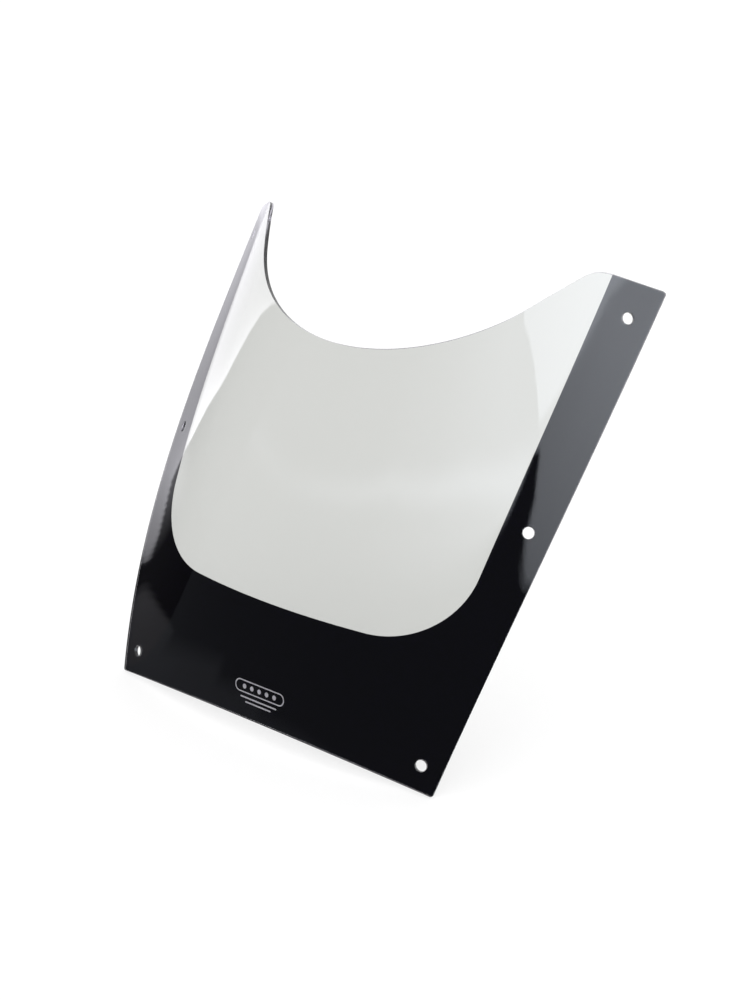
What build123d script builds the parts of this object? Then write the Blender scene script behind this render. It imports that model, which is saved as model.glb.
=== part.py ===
from build123d import *
import os
from math import cos, radians, sin, sqrt, tan

# A motorcycle windshield screen: one sheet of clear acrylic, formed to a double curve, with six
# mounting holes, an opaque ink border on its inner face and a small mark in pale ink.
#
# It is drawn in a drafting frame: X is across the screen, Z runs up along the side edges, and
# "forward" is towards the front of the motorcycle, -Y. At the end every piece is leaned back by RAKE,
# as mounted, and moved so that the origin is at the centre of the base of its bounding box.
# All dimensions are in millimetres and degrees.

# ---- the sheet ---------------------------------------------------------------------------------
SHEET = 3.0             # sheet thickness, measured square to the surface
INK = 0.1               # thickness of a printed layer
SKIN_GAP = 0.02         # the layers stop this far short of the sheet and of each other
RAKE = 36.0             # lean of the side edges from upright, as mounted

# Four cross-sections shape the sheet, evenly spaced in height. Between them every value follows one
# smooth cubic curve.
SECTION_HEIGHT = (-192.0, -64.0, 64.0, 192.0)   # above the middle mounting holes
HALF_WIDTH = (148.0, 167.5, 178.5, 185.0)       # from the centre plane to the side edge
EDGE_FORWARD = (-13.0, 0.5, -3.5, -13.5)        # of the side edge, from the middle mounting holes
CROWN = (20.0, 54.5, 80.0, 101.5)               # of the centre plane, forward of the side edges

# One profile shapes every cross-section, as the share of the crown that is left at a distance from the
# centre plane. The shoulders are full and the flanks nearly flat.
CROWN_FALL = {2: 0.76, 4: 0.55, 6: -0.31}       # power of (distance / half width): its weight

# ---- the outline, seen square to the drafting plane ----------------------------------------------
BOTTOM_CENTRE = -192.5  # height of the bottom edge at the centre
BOTTOM_CORNER = -195.0
TOP_CORNER = 194.0
TOP_RUN_SLOPE = 7.0     # the short runs beside the scoop climb outwards at this angle
SCOOP_LOW = 82.0        # lowest point of the scooped top edge
SCOOP_RADIUS = 143.0
SCOOP_SWEEP = 57.0      # half angle of the scoop's arc; straight walls go on from there
HORN_RADIUS = 18.0      # where a scoop wall turns into a top run
CORNER_RADIUS = 2.0

# ---- the printed border --------------------------------------------------------------------------
BORDER = 29.0           # width of the ink along the sides
WINDOW_BOTTOM = -108.0  # height of the clear window's lower edge at the centre
WINDOW_BOTTOM_RADIUS = 840.0
WINDOW_CORNER_RADIUS = 70.0

# ---- the mounting holes --------------------------------------------------------------------------
HOLE_DIAMETER = 8.5
HOLES = {"bottom": (135.0, -177.0), "middle": (160.0, 0.0), "top": (171.0, 166.0)}

# ---- the printed mark ----------------------------------------------------------------------------
MARK_CENTRE = -171.0    # height of the outlined pill
MARK_WIDTH = 46.0
MARK_HEIGHT = 9.0
MARK_LINE = 0.9         # width of the pill's outline
DOTS = 5
DOT_DIAMETER = 3.4
DOT_PITCH = 7.0
BARS = ((-178.5, 34.0), (-181.5, 24.0))  # height and width of the two bars under the pill
BAR_HEIGHT = 1.1

# ---- working allowances --------------------------------------------------------------------------
MARGIN = 1.05           # the curved blank runs on past the outline by this factor
BLANK_HEIGHT = 205.0
GRID = 25               # points each way on the curved blank
REACH = 200.0           # a trimming prism reaches this far, forward and back
DRILL_LENGTH = 20.0
EDGE_POINTS = 9         # points on a side curve


def at_height(values, z):
    """The value at height z on the cubic through a quantity's four section values."""
    total = 0.0
    for value, own in zip(values, SECTION_HEIGHT):
        weight = 1.0
        for other in SECTION_HEIGHT:
            if other != own:
                weight *= (z - other) / (own - other)
        total += value * weight
    return total


def outer_point(x, z):
    """The point of the outer face at a given place in the drafting plane."""
    share = abs(x) / at_height(HALF_WIDTH, z)
    crown_left = 1 - sum(weight * share**power for power, weight in CROWN_FALL.items())
    return Vector(x, -at_height(EDGE_FORWARD, z) - at_height(CROWN, z) * crown_left, z)


def outward(x, z):
    """The unit normal of the outer face, pointing forward."""
    step = 0.01
    across = outer_point(x + step, z) - outer_point(x - step, z)
    up = outer_point(x, z + step) - outer_point(x, z - step)
    return across.cross(up).normalized()


def blank():
    """The outer face before trimming, larger than the outline on every side."""
    steps = [2 * i / (GRID - 1) - 1 for i in range(GRID)]
    rows = [
        [outer_point(MARGIN * u * at_height(HALF_WIDTH, BLANK_HEIGHT * v), BLANK_HEIGHT * v) for u in steps]
        for v in steps
    ]
    return Face.make_surface_from_array_of_points(rows, tol=0.005, min_deg=3, max_deg=6)


def side_curve(bottom, top, inset=0.0):
    """The right-hand side edge in the drafting plane, or a curve a little inside it."""
    heights = [bottom + (top - bottom) * i / (EDGE_POINTS - 1) for i in range(EDGE_POINTS)]
    return Spline(*[(at_height(HALF_WIDTH, z) - inset, z) for z in heights])


def both_sides(half, *closing):
    """A face bounded by curves on the right, their mirror images and curves that cross the centre."""
    return make_face([*closing, *half, *[mirror(curve, about=Plane.YZ) for curve in half]])


def near(shape, x, z):
    """The two corners of a flat face nearest to (x, z) and to its mirror image."""
    corners = shape.vertices()
    return [corners.sort_by_distance((side * x, z, 0))[0] for side in (1, -1)]


def outline():
    """The sheet's flat outline, in the XY plane with Y up."""
    bottom_x = at_height(HALF_WIDTH, BOTTOM_CORNER)
    top_x = at_height(HALF_WIDTH, TOP_CORNER)
    wall_x = SCOOP_RADIUS * sin(radians(SCOOP_SWEEP))
    wall_z = SCOOP_LOW + SCOOP_RADIUS * (1 - cos(radians(SCOOP_SWEEP)))
    wall_slope = tan(radians(SCOOP_SWEEP))
    run_slope = tan(radians(TOP_RUN_SLOPE))
    horn_x = (TOP_CORNER - wall_z + wall_slope * wall_x - run_slope * top_x) / (wall_slope - run_slope)
    horn_z = wall_z + wall_slope * (horn_x - wall_x)
    half = [
        side_curve(BOTTOM_CORNER, TOP_CORNER),
        Line((top_x, TOP_CORNER), (horn_x, horn_z)),
        Line((horn_x, horn_z), (wall_x, wall_z)),
    ]
    scoop = ThreePointArc((wall_x, wall_z), (0, SCOOP_LOW), (-wall_x, wall_z))
    bottom = ThreePointArc((-bottom_x, BOTTOM_CORNER), (0, BOTTOM_CENTRE), (bottom_x, BOTTOM_CORNER))
    flat = both_sides(half, scoop, bottom)
    flat = fillet(near(flat, horn_x, horn_z), HORN_RADIUS)
    flat = fillet(near(flat, top_x, TOP_CORNER), CORNER_RADIUS)
    return fillet(near(flat, bottom_x, BOTTOM_CORNER), CORNER_RADIUS)


def window():
    """The clear window's flat outline, running on past the top edge."""
    low_x = at_height(HALF_WIDTH, WINDOW_BOTTOM) - BORDER
    low_z = WINDOW_BOTTOM + WINDOW_BOTTOM_RADIUS - sqrt(WINDOW_BOTTOM_RADIUS**2 - low_x**2)
    low_x = at_height(HALF_WIDTH, low_z) - BORDER
    high_x = at_height(HALF_WIDTH, BLANK_HEIGHT) - BORDER
    side = side_curve(low_z, BLANK_HEIGHT, BORDER)
    low = ThreePointArc((-low_x, low_z), (0, WINDOW_BOTTOM), (low_x, low_z))
    high = Line((-high_x, BLANK_HEIGHT), (high_x, BLANK_HEIGHT))
    flat = both_sides([side], low, high)
    return fillet(near(flat, low_x, low_z), WINDOW_CORNER_RADIUS)


def mark(grown=0.0):
    """The mark's flat outline: a row of dots inside an outlined pill, with two bars under it."""
    line = MARK_LINE + grown
    pill = SlotOverall(MARK_WIDTH + 2 * grown, MARK_HEIGHT + 2 * grown)
    inner = SlotOverall(MARK_WIDTH - 2 * line, MARK_HEIGHT - 2 * line)
    dots = GridLocations(DOT_PITCH, 0, DOTS, 1) * Circle(DOT_DIAMETER / 2 + grown)
    bars = [Pos(0, height) * SlotOverall(width + 2 * grown, BAR_HEIGHT + 2 * grown) for height, width in BARS]
    return Pos(0, MARK_CENTRE) * (pill - inner + dots) + bars


def behind(surface, flat, depth):
    """Slabs of the sheet, as deep as given, behind each face of a flat shape."""
    prism = extrude(Plane.XZ * flat, REACH, both=True)
    return [Solid.thicken(face, depth, normal_override=(0, 1, 0)) for face in (surface & prism).faces()]


def ink(surface, flat):
    """A printed layer just behind the sheet. The back of a slab is its one offset face."""
    slabs = behind(surface, flat, SHEET + SKIN_GAP)
    inner_faces = [slab.faces().filter_by(GeomType.OFFSET)[0] for slab in slabs]
    return Compound([Solid.thicken(face, INK, normal_override=(0, 1, 0)) for face in inner_faces])


def drills():
    """One cylinder through each mounting hole, square to the sheet where it stands."""
    cylinders = []
    for x, z in HOLES.values():
        for side in (1, -1):
            place = Plane(origin=outer_point(side * x, z), z_dir=outward(side * x, z))
            cylinders.append(place * Cylinder(HOLE_DIAMETER / 2, DRILL_LENGTH))
    return cylinders


def screen_sheet(surface):
    """The formed clear sheet, trimmed square to its surface and drilled."""
    return behind(surface, outline(), SHEET)[0] - drills()


def border_print(surface):
    """The opaque border: everything inside the outline but the window and the mark."""
    return ink(surface, outline() - window() - mark(SKIN_GAP)) - drills()


def mark_print(surface):
    """The pale mark, printed on the same face through openings in the border."""
    return ink(surface, mark())


def as_mounted(piece, foot):
    """A piece leaned back by the rake, with the foot of the leaned sheet at the origin."""
    return Pos(-foot.X, -foot.Y, -foot.Z) * Rot(-RAKE, 0, 0) * piece


def main():
    surface = blank()
    pieces = {
        "screen_sheet": screen_sheet(surface),
        "border_print": border_print(surface),
        "mark_print": mark_print(surface),
    }
    box = (Rot(-RAKE, 0, 0) * Compound(list(pieces.values()))).bounding_box()
    foot = Vector(0, box.center().Y, box.min.Z)
    os.makedirs("parts", exist_ok=True)
    for name, piece in pieces.items():
        export_step(as_mounted(piece, foot), f"parts/{name}.step")


main()
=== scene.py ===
from math import cos, pi, radians, sin, sqrt, tan

import bpy
import numpy as np
from mathutils import Euler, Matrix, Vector
from mathutils.geometry import delaunay_2d_cdt


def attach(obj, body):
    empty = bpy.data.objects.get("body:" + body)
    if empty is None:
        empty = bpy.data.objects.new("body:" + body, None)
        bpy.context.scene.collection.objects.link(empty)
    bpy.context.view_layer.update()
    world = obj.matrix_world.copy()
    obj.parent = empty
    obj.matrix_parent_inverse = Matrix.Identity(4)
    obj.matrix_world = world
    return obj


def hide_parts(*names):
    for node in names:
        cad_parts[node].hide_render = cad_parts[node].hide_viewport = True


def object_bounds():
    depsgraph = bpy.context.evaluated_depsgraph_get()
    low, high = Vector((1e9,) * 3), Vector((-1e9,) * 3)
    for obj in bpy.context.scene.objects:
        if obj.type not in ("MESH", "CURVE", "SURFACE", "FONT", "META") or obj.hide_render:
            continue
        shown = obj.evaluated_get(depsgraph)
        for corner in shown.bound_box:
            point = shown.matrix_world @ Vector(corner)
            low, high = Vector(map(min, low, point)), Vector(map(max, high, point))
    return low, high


# A clear motorcycle windshield screen with a black printed border, standing on a pale studio floor.
# Sizes are in metres, and angles that have a name or stand in a list are in degrees. The sheet is
# worked out in the same drafting frame as the CAD model, X across, Z up along the side edges, and -Y
# forward, and is then leaned back.

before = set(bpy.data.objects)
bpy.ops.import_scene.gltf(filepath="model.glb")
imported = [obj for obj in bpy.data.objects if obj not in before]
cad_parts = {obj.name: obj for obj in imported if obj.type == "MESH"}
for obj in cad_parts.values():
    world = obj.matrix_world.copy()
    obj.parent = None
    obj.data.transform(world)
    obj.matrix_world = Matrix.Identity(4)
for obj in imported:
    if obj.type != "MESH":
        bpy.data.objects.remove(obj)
cad_low, cad_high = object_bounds()

# ---- the sheet's shape, as in the CAD model -------------------------------------------------------
SHEET = 0.003
RAKE = 36.0
SECTION_HEIGHT = (-0.192, -0.064, 0.064, 0.192)
HALF_WIDTH = (0.148, 0.1675, 0.1785, 0.185)
EDGE_FORWARD = (-0.013, 0.0005, -0.0035, -0.0135)
CROWN = (0.020, 0.0545, 0.080, 0.1015)
CROWN_FALL = {2: 0.76, 4: 0.55, 6: -0.31}

BOTTOM_CENTRE = -0.1925
BOTTOM_CORNER = -0.195
TOP_CORNER = 0.194
TOP_RUN_SLOPE = 7.0
SCOOP_LOW = 0.082
SCOOP_RADIUS = 0.143
SCOOP_SWEEP = 57.0
HORN_RADIUS = 0.018
CORNER_RADIUS = 0.002

BORDER = 0.029
WINDOW_BOTTOM = -0.108
WINDOW_BOTTOM_RADIUS = 0.840
WINDOW_CORNER_RADIUS = 0.070

HOLE_RADIUS = 0.00425
HOLES = ((0.135, -0.177), (0.160, 0.0), (0.171, 0.166))

MARK_CENTRE = -0.171
MARK_WIDTH = 0.046
MARK_HEIGHT = 0.009
MARK_LINE = 0.0009
DOTS = 5
DOT_RADIUS = 0.0017
DOT_PITCH = 0.007
BARS = ((-0.1785, 0.034), (-0.1815, 0.024))
BAR_HEIGHT = 0.0011

# ---- finer detail that only the looks need --------------------------------------------------------
EDGE_ROUND = 0.0002     # the cut edges are broken by this radius
INK = 0.0001
INK_BITE = 0.00004      # the ink is wetted to the sheet, so it starts just inside its back face
INK_INSET = 0.00015     # the ink stops short of the sheet's rounded edges
MESH_STEP = 0.0035      # spacing of the points on the curved faces
EDGE_STEP = 0.0015      # spacing of the points along the edges
HOLE_POINTS = 56        # points round a mounting hole
PROFILE_POINTS = 5      # points on a rounded edge's quarter turn
NUDGE = 1e-5            # half the distance over which the outer face's slope is taken
INK_FRONT = SHEET - INK_BITE
INK_BACK = SHEET + INK

# ---- the studio -----------------------------------------------------------------------------------
OBJECT_CENTRE = (cad_low + cad_high) / 2
FLOOR_REACH = 9.0
DOME = 1.2              # the white surroundings, as a radiance
LIGHT_DISTANCE = 0.5    # of the lights that the screen reflects, from the object's centre
FRONT_FLAG = 0.12       # what the dark parts of the studio in front of the screen give back
SIDE_FLAG = 0.045       # and those on its left
FRONT_COLOUR = (0.94, 0.985, 1.075)
SIDE_COLOUR = (0.985, 0.975, 1.04)

CAMERA_PLACE = (0.737507, -0.968002, 0.721684)
CAMERA_TURN = (64.7806, 0.0817, 36.5465)
CAMERA_LENS = 64.589    # in millimetres, on a sensor 36 mm wide along the frame's longer side


def at_height(values, z):
    """The value at height z on the cubic through a quantity's four section values."""
    total = 0.0
    for value, own in zip(values, SECTION_HEIGHT):
        weight = 1.0
        for other in SECTION_HEIGHT:
            if other != own:
                weight = weight * (z - other) / (own - other)
        total = total + value * weight
    return total


def outer(flat):
    """The points of the outer face over an array of flat (x, z) points."""
    x, z = flat[:, 0], flat[:, 1]
    share = np.abs(x) / at_height(HALF_WIDTH, z)
    crown_left = 1 - sum(weight * share**power for power, weight in CROWN_FALL.items())
    y = -at_height(EDGE_FORWARD, z) - at_height(CROWN, z) * crown_left
    return np.stack([x, y, z], 1)


def unit(vectors):
    return vectors / np.linalg.norm(vectors, axis=1, keepdims=True)


def outward(flat):
    """The outer face's unit normals over an array of flat points."""
    across = outer(flat + (NUDGE, 0)) - outer(flat - (NUDGE, 0))
    up = outer(flat + (0, NUDGE)) - outer(flat - (0, NUDGE))
    return unit(np.cross(across, up))


# ---- flat curves ----------------------------------------------------------------------------------
def line(start, end):
    steps = max(2, int(np.hypot(end[0] - start[0], end[1] - start[1]) / EDGE_STEP))
    return np.linspace(start, end, steps)


def arc(centre, radius, start, end, step=EDGE_STEP):
    """Points on a circle from one angle to another, in radians."""
    steps = max(6, int(abs(end - start) * radius / step))
    angles = np.linspace(start, end, steps)
    return np.stack([centre[0] + radius * np.cos(angles), centre[1] + radius * np.sin(angles)], 1)


def arch(x, middle, ends):
    """A shallow circular arc from (-x, ends) through (0, middle) to (x, ends)."""
    rise = middle - ends
    radius = (x**2 + rise**2) / (2 * abs(rise))
    sweep = np.arcsin(x / radius)
    top = pi / 2 if rise > 0 else -pi / 2
    turn = sweep if rise > 0 else -sweep
    return arc((0, middle - np.sign(rise) * radius), radius, top + turn, top - turn)


def side(low, high, inset=0.0):
    """The right-hand side edge from one height to another, or a curve a little inside it."""
    z = np.linspace(low, high, max(2, int(abs(high - low) / EDGE_STEP)))
    return np.stack([at_height(HALF_WIDTH, z) - inset, z], 1)


def mirrored(curve):
    """The same curve on the other side, run the other way."""
    return (curve * (-1, 1))[::-1]


def left_of(curve, distance):
    """A curve moved sideways to its left."""
    ahead = unit(np.gradient(curve, axis=0))
    return curve + distance * np.stack([-ahead[:, 1], ahead[:, 0]], 1)


def cut_between(first, second):
    """How far along two curves, counted in points, they cross."""
    gap = np.linalg.norm(first[:, None] - second[None], axis=2)
    i, j = np.unravel_index(gap.argmin(), gap.shape)
    i, j = min(max(i, 1), len(first) - 2), min(max(j, 1), len(second) - 2)
    along, across = (first[i + 1] - first[i - 1]) / 2, (second[j + 1] - second[j - 1]) / 2
    shift = np.linalg.solve(np.stack([along, -across], 1), second[j] - first[i])
    return i + shift[0], j + shift[1]


def point_at(curve, place):
    """The point a whole and a part number of points along a curve."""
    places = np.arange(len(curve))
    return np.array([np.interp(place, places, curve[:, 0]), np.interp(place, places, curve[:, 1])])


def rounded(first, second, radius):
    """Two curves that meet at a corner, cut back to a tangent arc: the first curve, the arc, the second."""
    a, b = first[-1] - first[-2], second[1] - second[0]
    hand = np.sign(a[0] * b[1] - a[1] * b[0])
    first_place, second_place = cut_between(left_of(first, hand * radius), left_of(second, hand * radius))
    centre = point_at(left_of(first, hand * radius), first_place)
    from_first, from_second = point_at(first, first_place) - centre, point_at(second, second_place) - centre
    start = np.arctan2(from_first[1], from_first[0])
    turn = (np.arctan2(from_second[1], from_second[0]) - start + pi) % (2 * pi) - pi
    bend = arc(centre, radius, start, start + turn, min(EDGE_STEP, radius / 4))
    return first[: int(np.floor(first_place))], bend, second[int(np.ceil(second_place)) + 1 :]


def loop(curves, radii):
    """A closed outline from curves that meet end to end, with a radius for the corner after each."""
    curves = [np.asarray(curve) for curve in curves]
    bends = []
    for i, radius in enumerate(radii):
        j = (i + 1) % len(curves)
        bend = curves[j][:0]
        if radius:
            curves[i], bend, curves[j] = rounded(curves[i], curves[j], radius)
        bends.append(bend)
    points = np.concatenate([part for pair in zip(curves, bends) for part in pair])
    apart = np.linalg.norm(points - np.roll(points, 1, axis=0), axis=1)
    return points[apart > 1e-6]


def disc(centre, radius):
    """A circle, run anticlockwise."""
    return arc(centre, radius, 0, 2 * pi, radius / 7)[:-1]


def pill(centre, width, height):
    """A slot shape, run anticlockwise."""
    radius, reach = height / 2, (width - height) / 2
    step = radius / 6
    right = arc((centre[0] + reach, centre[1]), radius, -pi / 2, pi / 2, step)
    left = arc((centre[0] - reach, centre[1]), radius, pi / 2, 3 * pi / 2, step)
    across = int(2 * reach / EDGE_STEP)
    top = np.linspace(right[-1], left[0], across)[1:-1]
    low = np.linspace(left[-1], right[0], across)[1:-1]
    return np.concatenate([right, top, left, low])


# ---- the outlines ---------------------------------------------------------------------------------
def top_run(x):
    """Height of the straight top run at a distance from the centre."""
    return TOP_CORNER - tan(radians(TOP_RUN_SLOPE)) * (at_height(HALF_WIDTH, TOP_CORNER) - x)


def foot_curves():
    """The bottom edge, and the side edge above it, of the right half."""
    bottom_x = at_height(HALF_WIDTH, BOTTOM_CORNER)
    return arch(bottom_x, BOTTOM_CENTRE, BOTTOM_CORNER), side(BOTTOM_CORNER, TOP_CORNER)


def outline():
    """The sheet's edge, run anticlockwise."""
    bottom, right = foot_curves()
    sweep = radians(SCOOP_SWEEP)
    wall = SCOOP_RADIUS * sin(sweep), SCOOP_LOW + SCOOP_RADIUS * (1 - cos(sweep))
    run_slope, wall_slope = tan(radians(TOP_RUN_SLOPE)), tan(sweep)
    horn_x = (top_run(0) - wall[1] + wall_slope * wall[0]) / (wall_slope - run_slope)
    horn = horn_x, top_run(horn_x)
    run, climb = line(right[-1], horn), line(horn, wall)
    scoop = arc((0, SCOOP_LOW + SCOOP_RADIUS), SCOOP_RADIUS, sweep - pi / 2, -sweep - pi / 2)
    curves = [bottom, right, run, climb, scoop, mirrored(climb), mirrored(run), mirrored(right)]
    corners = [CORNER_RADIUS, CORNER_RADIUS, HORN_RADIUS, 0, 0, HORN_RADIUS, CORNER_RADIUS, CORNER_RADIUS]
    return loop(curves, corners)


def border():
    """The printed border's edge, run anticlockwise: up the outside of the U and back round the window."""
    bottom, right = foot_curves()
    low_x = at_height(HALF_WIDTH, WINDOW_BOTTOM) - BORDER
    low_z = WINDOW_BOTTOM + WINDOW_BOTTOM_RADIUS - sqrt(WINDOW_BOTTOM_RADIUS**2 - low_x**2)
    low_x = at_height(HALF_WIDTH, low_z) - BORDER
    high_z = top_run(at_height(HALF_WIDTH, TOP_CORNER) - BORDER)
    inner_side = side(low_z, high_z, BORDER)[::-1]
    run = line(right[-1], inner_side[0])
    inner_low = arch(low_x, WINDOW_BOTTOM, low_z)[::-1]
    left = [mirrored(inner_side), mirrored(run), mirrored(right)]
    curves = [bottom, right, run, inner_side, inner_low, *left]
    bend, corner = WINDOW_CORNER_RADIUS, CORNER_RADIUS
    return loop(curves, [corner, corner, 0, bend, bend, 0, corner, corner])


def holes():
    """The six mounting holes, drilled square to the sheet, seen in the drafting plane."""
    found = []
    for x, z in HOLES:
        for hand in (1, -1):
            centre = np.array([[hand * x, z]])
            normal = outward(centre)[0]
            around = np.linspace(2 * pi, 0, HOLE_POINTS, endpoint=False)
            sideways = np.cross((0, 0, 1), normal)
            sideways /= np.linalg.norm(sideways)
            upward = np.cross(normal, sideways)
            ring = HOLE_RADIUS * (np.outer(np.cos(around), sideways) + np.outer(np.sin(around), upward))
            found.append(centre[0] + ring[:, [0, 2]])
    return found


def mark_edges():
    """The plain mark's edges, all run anticlockwise: the ring's two sides, the dots and the bars."""
    ring = pill((0, MARK_CENTRE), MARK_WIDTH, MARK_HEIGHT)
    ring_inside = pill((0, MARK_CENTRE), MARK_WIDTH - 2 * MARK_LINE, MARK_HEIGHT - 2 * MARK_LINE)
    places = [(i - (DOTS - 1) / 2) * DOT_PITCH for i in range(DOTS)]
    dots = [disc((place, MARK_CENTRE), DOT_RADIUS) for place in places]
    bars = [pill((0, height), width, BAR_HEIGHT) for height, width in BARS]
    return ring, ring_inside, dots, bars


# ---- meshes ---------------------------------------------------------------------------------------
def inside(points, edges):
    """Which points lie inside the closed edges, by counting crossings."""
    within = np.zeros(len(points), bool)
    for edge in edges:
        start, end = edge, np.roll(edge, -1, axis=0)
        for (x0, z0), (x1, z1) in zip(start, end):
            if z0 == z1:
                continue
            beside = (points[:, 1] > min(z0, z1)) & (points[:, 1] <= max(z0, z1))
            cross = x0 + (points[:, 1] - z0) * (x1 - x0) / (z1 - z0)
            within ^= beside & (points[:, 0] < cross)
    return within


def clear_of(points, edges, gap, block=64):
    """Which points stand at least a gap away from every edge point, taken a block at a time."""
    clear = np.ones(len(points), bool)
    for edge in edges:
        for start in range(0, len(edge), block):
            away = np.linalg.norm(points[:, None] - edge[None, start : start + block], axis=2)
            clear &= away.min(axis=1) > gap
    return clear


def fill(edges, step):
    """The points and triangles that fill the closed edges: the edge points come first, in order."""
    rim = np.concatenate(edges)
    low, high = rim.min(axis=0), rim.max(axis=0)
    counts = np.maximum(1, ((high - low) / step).astype(int))
    xs, zs = (np.linspace(low[i], high[i], counts[i] + 1)[1:-1] for i in (0, 1))
    grid = np.stack(np.meshgrid(xs, zs), -1).reshape(-1, 2)
    grid = grid[inside(grid, edges)]
    grid = grid[clear_of(grid, edges, 0.55 * step)]
    points = np.concatenate([rim, grid])
    joins, first = [], 0
    for edge in edges:
        count = len(edge)
        joins += [(first + i, first + (i + 1) % count) for i in range(count)]
        first += count
    made = delaunay_2d_cdt([Vector(point) for point in points], joins, [], 0, 1e-8)
    if len(made[0]) != len(points):
        raise ValueError("two edges of a shape touch or cross")
    triangles = np.array(made[2])
    triangles = triangles[inside(points[triangles].mean(axis=1), edges)]
    a, b, c = (points[triangles[:, i]] for i in range(3))
    area = (b[:, 0] - a[:, 0]) * (c[:, 1] - a[:, 1]) - (b[:, 1] - a[:, 1]) * (c[:, 0] - a[:, 0])
    triangles[area < 0] = triangles[area < 0][:, ::-1]
    return points, triangles


def edge_profile(front, back, rounding):
    """The cut edge's section from the front face to the back: inset, depth, and the normal's turn."""
    if not rounding:
        return [(0.0, front, 0.0), (0.0, back, pi)]
    turns = np.linspace(0, pi / 2, PROFILE_POINTS)
    near = [(rounding * (1 - sin(t)), front + rounding * (1 - cos(t)), t) for t in turns]
    far = [(rounding * (1 - sin(t)), back - rounding * (1 - cos(t)), pi - t) for t in turns[::-1]]
    return near + far


class Slab:
    """A closed piece of the sheet's curved wall between two depths behind the outer face."""

    def __init__(self):
        self.points, self.normals, self.faces, self.materials = [], [], [], []
        self.count = 0

    def add_points(self, points, normals):
        self.points.append(points)
        self.normals.append(normals)
        self.count += len(points)
        return self.count - len(points)

    def add(self, outer_edge, inner_edges, front, back, rounding=0.0):
        """Adds one shape: its faces get material 0 in front, 1 behind and 2 round the cut edges."""
        rings, insets = [], []
        for edge in [outer_edge, *inner_edges]:
            place, normal = outer(edge), outward(edge)
            along = unit(np.roll(place, -1, axis=0) - np.roll(place, 1, axis=0))
            away = unit(np.cross(along, normal))
            ring = []
            for inward, depth, turn in edge_profile(front, back, rounding):
                points = place - depth * normal - inward * away
                ring.append(self.add_points(points, cos(turn) * normal + sin(turn) * away))
            rings.append(ring)
            insets.append(edge - (rounding * away)[:, [0, 2]])
            self.join_rings(ring, len(edge))
        flat, triangles = fill(insets, MESH_STEP)
        self.cap(flat, triangles, insets, [ring[0] for ring in rings], front, 1, 0)
        self.cap(flat, triangles, insets, [ring[-1] for ring in rings], back, -1, 1)

    def join_rings(self, ring, count):
        here = np.arange(count)
        ahead = (here + 1) % count
        for near, far in zip(ring, ring[1:]):
            self.faces.append(np.stack([near + here, far + here, far + ahead, near + ahead], 1))
            self.materials.append(np.full(count, 2))

    def cap(self, flat, triangles, insets, starts, depth, hand, material):
        """Closes one side, on the rings' own points along the edges and new points between."""
        rim = sum(len(edge) for edge in insets)
        inner = flat[rim:]
        normals = outward(inner)
        first = self.add_points(outer(inner) - depth * normals, hand * normals)
        own = np.concatenate([start + np.arange(len(edge)) for start, edge in zip(starts, insets)])
        index = np.concatenate([own, first + np.arange(len(inner))])
        faces = index[triangles]
        self.faces.append(faces if hand > 0 else faces[:, ::-1])
        self.materials.append(np.full(len(faces), material))

    def finish(self, name, materials):
        """Makes the object, leaned back and standing where the CAD model stands."""
        points = leaned(np.concatenate(self.points)) + FOOT
        normals = leaned(np.concatenate(self.normals))
        mesh = bpy.data.meshes.new(name)
        mesh.from_pydata(points.tolist(), [], [face for block in self.faces for face in block.tolist()])
        for material in materials:
            mesh.materials.append(material)
        mesh.polygons.foreach_set("material_index", np.concatenate(self.materials).astype(np.int32))
        mesh.polygons.foreach_set("use_smooth", np.ones(len(mesh.polygons), bool))
        mesh.normals_split_custom_set_from_vertices(normals.tolist())
        mesh.update()
        piece = bpy.data.objects.new(name, mesh)
        bpy.context.scene.collection.objects.link(piece)
        return piece


def leaned(points):
    """Points or directions of the drafting frame, leaned back by the rake."""
    lean = Euler((radians(-RAKE), 0, 0)).to_matrix()
    return points @ np.array(lean).T


def standing_place():
    """Where the CAD model puts the drafting frame's origin, from the outline and the centre line."""
    edge = outline()
    near, far = leaned(outer(edge)), leaned(outer(edge) - SHEET * outward(edge))
    centre_line = np.stack([np.zeros(200), np.linspace(BOTTOM_CENTRE, SCOOP_LOW, 200)], 1)
    points = np.concatenate([near, far, leaned(outer(centre_line))])
    low, high = points.min(axis=0), points.max(axis=0)
    foot = np.array([0, (low[1] + high[1]) / 2, low[2]])
    return np.array([OBJECT_CENTRE.x, OBJECT_CENTRE.y, cad_low.z]) - foot


FOOT = standing_place()


# ---- materials ------------------------------------------------------------------------------------
def new_material(name):
    """A node material, its node tree and its Principled shader."""
    material = bpy.data.materials.new(name)
    material.use_nodes = True
    tree = material.node_tree
    return material, tree, tree.nodes["Principled BSDF"]


def add(tree, kind, inputs=None, **settings):
    """Adds a node. An input is a number or colour to set, or another node's output to link."""
    node = tree.nodes.new(kind)
    for name, value in settings.items():
        setattr(node, name, value)
    for name, value in (inputs or {}).items():
        if isinstance(value, bpy.types.NodeSocket):
            tree.links.new(value, node.inputs[name])
        else:
            node.inputs[name].default_value = value
    return node


def noise(tree, scale, detail=3.0, stretch=None):
    """A noise pattern in the object's own coordinates, with so many features a metre."""
    place = add(tree, "ShaderNodeTexCoord").outputs["Object"]
    if stretch:
        place = add(tree, "ShaderNodeMapping", {"Vector": place, "Scale": stretch}).outputs["Vector"]
    settings = {"Vector": place, "Scale": scale, "Detail": detail}
    return add(tree, "ShaderNodeTexNoise", settings).outputs["Fac"]


def span(tree, value, low, high, start=0.3, end=0.7):
    """Spreads a pattern's middle values from low to high."""
    settings = {"Value": value, "From Min": start, "From Max": end, "To Min": low, "To Max": high}
    return add(tree, "ShaderNodeMapRange", settings).outputs["Result"]


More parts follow.
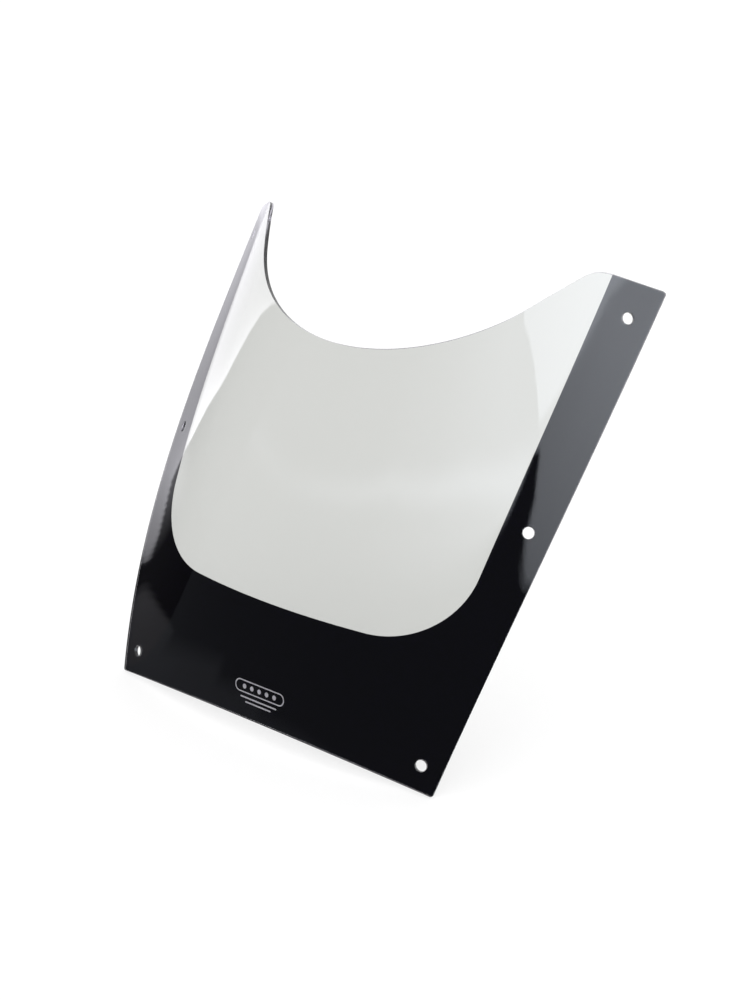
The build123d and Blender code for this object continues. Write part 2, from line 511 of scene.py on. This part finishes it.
def bump(tree, shader, height, distance, strength=1.0):
    settings = {"Height": height, "Distance": distance, "Strength": strength}
    tree.links.new(add(tree, "ShaderNodeBump", settings).outputs["Normal"], shader.inputs["Normal"])


def set_inputs(shader, **values):
    for name, value in values.items():
        shader.inputs[name.replace("_", " ")].default_value = value


def clear_acrylic():
    """Polished acrylic: faint haze where it has been wiped, and the slight ripple of a formed sheet."""
    material, tree, shader = new_material("clear_acrylic")
    set_inputs(shader, Base_Color=(0.64, 0.647, 0.627, 1), Transmission_Weight=1.0, IOR=1.49)
    haze = span(tree, noise(tree, 25, 2, (1, 1, 0.3)), 0.0, 0.01)
    tree.links.new(haze, shader.inputs["Roughness"])
    bump(tree, shader, noise(tree, 14, 1), 0.0004, 0.03)
    return material


def cut_edge():
    """The sheet's sawn edge, polished until only fine marks are left across it. Its lighter, violet tint is
    painted light, standing for the light seen along the thin edge.
    """
    material, tree, shader = new_material("cut_edge")
    # painted light: the lighter, violet tint here stands for the light seen along the edge, not a colour
    # the acrylic has
    set_inputs(shader, Base_Color=(0.72, 0.70, 0.79, 1), Transmission_Weight=1.0, IOR=1.49)
    marks = noise(tree, 900, 2, (1, 1, 0.25))
    tree.links.new(span(tree, marks, 0.14, 0.24), shader.inputs["Roughness"])
    bump(tree, shader, marks, 0.00003, 0.1)
    return material


def ink_under_acrylic(name, colour):
    """Ink as it looks through the sheet: wetted to the acrylic, so it has no gloss of its own."""
    material, tree, shader = new_material(name)
    set_inputs(shader, Roughness=1.0, Specular_IOR_Level=0.0)
    light = tuple(min(1.0, 1.25 * part) for part in colour)
    ramp = add(tree, "ShaderNodeValToRGB", {"Fac": noise(tree, 350, 4)})
    ramp.color_ramp.elements[0].color = (*colour, 1)
    ramp.color_ramp.elements[1].color = (*light, 1)
    tree.links.new(ramp.outputs["Color"], shader.inputs["Base Color"])
    return material


def ink_back(name, colour):
    """The ink's free back: satin, with the faint weave that a printing screen leaves."""
    material, tree, shader = new_material(name)
    set_inputs(shader, Specular_IOR_Level=0.4)
    ramp = add(tree, "ShaderNodeValToRGB", {"Fac": noise(tree, 120, 5)})
    ramp.color_ramp.elements[0].color = (*colour, 1)
    ramp.color_ramp.elements[1].color = (*(1.6 * part for part in colour), 1)
    tree.links.new(ramp.outputs["Color"], shader.inputs["Base Color"])
    tree.links.new(span(tree, noise(tree, 220, 4), 0.32, 0.5), shader.inputs["Roughness"])
    place = add(tree, "ShaderNodeTexCoord").outputs["Object"]
    weave = add(tree, "ShaderNodeTexWave", {"Vector": place, "Scale": 900.0, "Distortion": 1.5})
    bump(tree, shader, weave.outputs["Fac"], 0.00004, 0.4)
    return material


def floor_finish():
    """Pale seamless paper, lit a little from below so that the shadow on it stays faint."""
    material, _, shader = new_material("studio_paper")
    set_inputs(shader, Base_Color=(0.35, 0.35, 0.35, 1), Roughness=0.85, Specular_IOR_Level=0.1)
    set_inputs(shader, Emission_Color=(1, 1, 1, 1), Emission_Strength=0.65)
    return material


# ---- the pieces -----------------------------------------------------------------------------------
def inset(edge, distance):
    """An edge moved into its shape, measured along the sheet."""
    place = outer(edge)
    along = unit(np.roll(place, -1, axis=0) - np.roll(place, 1, axis=0))
    return edge - distance * unit(np.cross(along, outward(edge)))[:, [0, 2]]


def reversed_edges(edges):
    return [edge[::-1] for edge in edges]


def make_sheet():
    slab = Slab()
    slab.add(outline(), holes(), 0.0, SHEET, EDGE_ROUND)
    acrylic = clear_acrylic()
    return slab.finish("clear_screen_sheet", [acrylic, acrylic, cut_edge()])


def make_border():
    """The black print, open where the mark is, and the black that fills the mark's ring."""
    slab = Slab()
    ring, ring_inside, dots, bars = mark_edges()
    gaps = [inset(hole, INK_INSET) for hole in holes()] + reversed_edges([ring, *bars])
    slab.add(inset(border(), INK_INSET), gaps, INK_FRONT, INK_BACK)
    slab.add(ring_inside, reversed_edges(dots), INK_FRONT, INK_BACK)
    behind = ink_back("black_ink_back", (0.009, 0.009, 0.010))
    seen = ink_under_acrylic("black_ink_under_acrylic", (0.0013, 0.0009, 0.0036))
    return slab.finish("black_border_print", [seen, behind, behind])


def make_mark():
    slab = Slab()
    ring, ring_inside, dots, bars = mark_edges()
    slab.add(ring, reversed_edges([ring_inside]), INK_FRONT, INK_BACK)
    for shape in dots + bars:
        slab.add(shape, [], INK_FRONT, INK_BACK)
    behind = ink_back("pale_ink_back", (0.30, 0.29, 0.35))
    seen = ink_under_acrylic("pale_ink_under_acrylic", (0.85, 0.8, 1.0))
    return slab.finish("pale_mark_print", [seen, behind, behind])


pieces = (
    (make_sheet(), "screen_sheet", "clear_acrylic"),
    (make_border(), "border_print", "black_ink"),
    (make_mark(), "mark_print", "pale_ink"),
)
for piece, node, finish in pieces:
    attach(piece, "root")
    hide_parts(node)


# ---- the studio -----------------------------------------------------------------------------------
# The lights stand on a ring round the front of the object. Each one is a function that gives its
# radiance in a direction from the object's centre: azimuth 0 is straight in front, towards -Y, and
# azimuths grow towards +X. A pair of lists gives a light's edge or level at a few places, with
# straight lines between.
def make_floor():
    corners = [(FLOOR_REACH * x, FLOOR_REACH * y, 0) for x, y in ((-1, -1), (1, -1), (1, 1), (-1, 1))]
    mesh = bpy.data.meshes.new("studio_floor")
    mesh.from_pydata(corners, [], [(0, 1, 2, 3)])
    mesh.materials.append(floor_finish())
    floor = bpy.data.objects.new("studio_floor", mesh)
    bpy.context.scene.collection.objects.link(floor)
    floor.visible_glossy = False


def step_up(value, low, high):
    """0 up to the low value, 1 from the high value, and smooth between them."""
    share = np.clip((value - low) / (high - low), 0, 1)
    return share**2 * (3 - 2 * share)


def key_softbox(azimuth, elevation):
    """The large softbox on the right. Its near edge is bowed, and its upper half is brighter."""
    heights = (10, 14, 18, 22, 26, 30, 33, 36, 39, 42)
    places = (53, 56.5, 61, 66, 69.5, 70.5, 70.5, 70, 68.5, 66)
    edge = np.interp(elevation, heights, places)
    level = np.interp(azimuth, (60, 92), (2.3, 4.25))
    upper = np.interp(azimuth, (68, 92), (28.5, 35))
    level = level + 2 * step_up(elevation - upper, -0.5, 0.5)
    return level * step_up(azimuth - edge, -0.5, 0.5)


def veil(azimuth, elevation):
    """Soft light that grows towards the softbox, with a brighter streak along it and none below."""
    level = np.interp(azimuth, (-30, 0, 30, 60), (0, 0.2, 0.9, 2.1))
    streak = np.interp(azimuth, (-40, -10, 20, 60), (0.3, 0.9, 1.2, 1.6))
    middle = np.interp(azimuth, (-38, -14, 10, 45, 60), (15.5, 21, 26.5, 26.5, 24.5))
    lower = np.interp(azimuth, (0, 20, 34, 44, 68), (3, 5, 8, 11, 26))
    fade = np.interp(azimuth, (20, 42, 50, 58), (14, 10, 5, 1))
    band = streak * np.exp(-(((elevation - middle) / 3) ** 2))
    return (level + band) * step_up(elevation - lower, 0, fade)


def low_front(azimuth, elevation):
    """The floor of the studio in front, a little lighter than the dark above it."""
    edge = np.interp(azimuth, (-60, -50, -40, -20), (-19, -22, -23, -30))
    return 0.11 * step_up(edge - elevation, -0.4, 0.4)


def side_wall(azimuth, elevation):
    """The pale wall on the left, brightest at its near edge and brighter higher up."""
    heights = (-15, -13, -11, -9, -8, -6, -2, 1, 5, 7, 11, 15, 19, 21, 23, 25, 28)
    low_places = (-81, -84, -88.3, -93, -94, -95.3, -95.6, -95.3, -93.3, -92.6)
    high_places = (-92, -91, -89, -87, -85, -82, -76)
    edge = np.interp(elevation, heights, low_places + high_places)
    upper = np.interp(azimuth, (-124, -116, -108, -100, -94), (9, 5, 0.5, -4, -6.5))
    crest = np.interp(elevation, (-14, -11, -8), (0.4, 0.85, 1.2))
    level = 0.93 + crest * np.exp(-np.maximum(edge - azimuth, 0) / 5.5)
    level = level * (1 + 0.45 * step_up(elevation - upper, 0, 1.5))
    return level * step_up(edge - azimuth, -0.7, 0.7)


def wall_foot(azimuth, elevation):
    """Light from the wall on a ledge in front of it."""
    level = np.interp(azimuth, (-94, -91, -88, -86, -84, -80), (0.5, 0.45, 0.33, 0.22, 0.15, 0))
    return level * (1 - step_up(elevation, -8, -3))


def low_side(azimuth, elevation):
    """The floor of the studio on the left, a little lighter than the dark above it."""
    edge = np.interp(azimuth, (-80, -60), (-16.5, -19))
    return 0.21 * step_up(edge - elevation, -0.4, 0.4)


def brightest(lights, flag, azimuth, elevation):
    """The brightest light in each direction, over what the studio's dark parts give."""
    return np.max([flag + light(azimuth, elevation) for light in lights], axis=0)


def glow(name, colour):
    """Light as strong as the surface's own radiance values."""
    material = bpy.data.materials.new(name)
    material.use_nodes = True
    tree = material.node_tree
    tree.nodes.clear()
    strength = add(tree, "ShaderNodeAttribute", attribute_name="radiance").outputs["Fac"]
    emission = add(tree, "ShaderNodeEmission", {"Color": (*colour, 1), "Strength": strength})
    add(tree, "ShaderNodeOutputMaterial", {"Surface": emission.outputs["Emission"]})
    return material


def make_light_tent(name, azimuths, lights, flag, colour):
    """Part of the ring of lights and dark flags round the object, seen only in reflections."""
    elevations = np.concatenate([np.arange(-60, -20, 4), np.arange(-20, 45, 0.5), np.arange(45, 61, 4)])
    azimuth, elevation = (grid.ravel() for grid in np.meshgrid(azimuths, elevations))
    across, ahead, up = np.sin(np.radians(azimuth)), np.cos(np.radians(azimuth)), np.radians(elevation)
    directions = np.stack([across * np.cos(up), -ahead * np.cos(up), np.sin(up)], 1)
    points = LIGHT_DISTANCE * directions + OBJECT_CENTRE
    columns = len(azimuths)
    corner = np.arange(len(points)).reshape(-1, columns)[:-1, :-1].ravel()
    mesh = bpy.data.meshes.new(name)
    quads = np.stack([corner, corner + 1, corner + columns + 1, corner + columns], 1)
    mesh.from_pydata(points.tolist(), [], quads.tolist())
    radiance = brightest(lights, flag, azimuth, elevation).astype(np.float32)
    mesh.attributes.new("radiance", "FLOAT", "POINT").data.foreach_set("value", radiance)
    mesh.materials.append(glow(name, colour))
    tent = bpy.data.objects.new(name, mesh)
    bpy.context.scene.collection.objects.link(tent)
    for unseen in ("camera", "diffuse", "transmission", "volume_scatter", "shadow"):
        setattr(tent, "visible_" + unseen, False)


def make_world():
    world = bpy.data.worlds.new("studio_dome")
    world.use_nodes = True
    background = world.node_tree.nodes["Background"]
    background.inputs["Color"].default_value = (1, 1, 1, 1)
    background.inputs["Strength"].default_value = DOME
    bpy.context.scene.world = world


def make_camera():
    data = bpy.data.cameras.new("camera")
    data.sensor_width = 36.0
    data.lens = CAMERA_LENS
    data.clip_start, data.clip_end = 0.05, 60.0
    camera = bpy.data.objects.new("camera", data)
    camera.location = CAMERA_PLACE
    camera.rotation_euler = [radians(angle) for angle in CAMERA_TURN]
    bpy.context.scene.collection.objects.link(camera)
    bpy.context.scene.camera = camera


make_floor()
make_world()
make_camera()
front_lights = (key_softbox, veil, low_front)
side_lights = (side_wall, wall_foot, low_side)
make_light_tent("front_lights", np.arange(-60, 111, 0.5), front_lights, FRONT_FLAG, FRONT_COLOUR)
make_light_tent("side_lights", np.arange(-135, -59.9, 0.5), side_lights, SIDE_FLAG, SIDE_COLOUR)
bpy.context.scene.view_settings.view_transform = "Standard"
